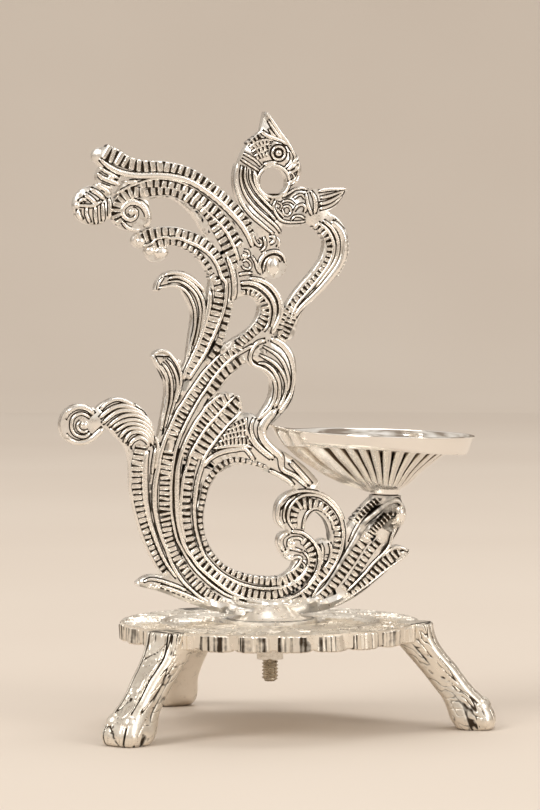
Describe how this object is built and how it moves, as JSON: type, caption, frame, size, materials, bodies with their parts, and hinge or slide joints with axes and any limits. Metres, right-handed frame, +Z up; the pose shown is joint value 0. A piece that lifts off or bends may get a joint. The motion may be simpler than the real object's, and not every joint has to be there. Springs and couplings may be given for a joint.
{
  "type": "aarti lamp",
  "caption": "Openwork peacock back on a round three-legged stand, carrying a fluted oil bowl with a pinched wick lip; stud and nut clamp it below.",
  "frame": {"origin": "on the floor under the middle of the whole lamp's box", "axes": "+Z up; +X towards the leg under the oil bowl; -Y is the front, from where the bowl is at the right"},
  "size_m": [0.1308, 0.1166, 0.1862],
  "materials": {
    "casting_silver": "silver-plated white metal casting, polished ridges, blackened recesses",
    "bowl_silver": "silver-plated white metal, mirror-polished rim band",
    "stand_silver": "silver-plated white metal, bright facets",
    "steel": "plain zinc-plated steel"
  },
  "bodies": {
    "stand": {"stand_plate": "stand_silver", "leg_right": "stand_silver", "leg_rear": "stand_silver", "leg_front": "stand_silver", "leg_rivets": "stand_silver"},
    "peacock": {"peacock_casting": "casting_silver", "clamp_stud": "steel", "lamp_bowl": "bowl_silver", "bowl_stud": "steel"},
    "washer": {"clamp_washer": "steel"},
    "nut": {"clamp_nut": "steel"}
  },
  "joints": [
    {"name": "peacock_swivel", "type": "hinge", "parent": "stand", "child": "peacock", "pos_m": [-0.00325, 0, 0.0317], "axis": [0, 0, 1], "continuous": true},
    {"name": "washer_slide", "type": "slide", "parent": "peacock", "child": "washer", "axis": [0, 0, -1], "range_m": [0, 0.00636]},
    {"name": "nut_turn", "type": "hinge", "parent": "washer", "child": "nut", "pos_m": [-0.00325, 0, 0.0225], "axis": [0, 0, -1], "range_deg": [0, 2160]}
  ],
  "couplings": [
    {"joint": "nut_turn", "follows": "washer_slide", "rad_per_m": 5927.5}
  ]
}
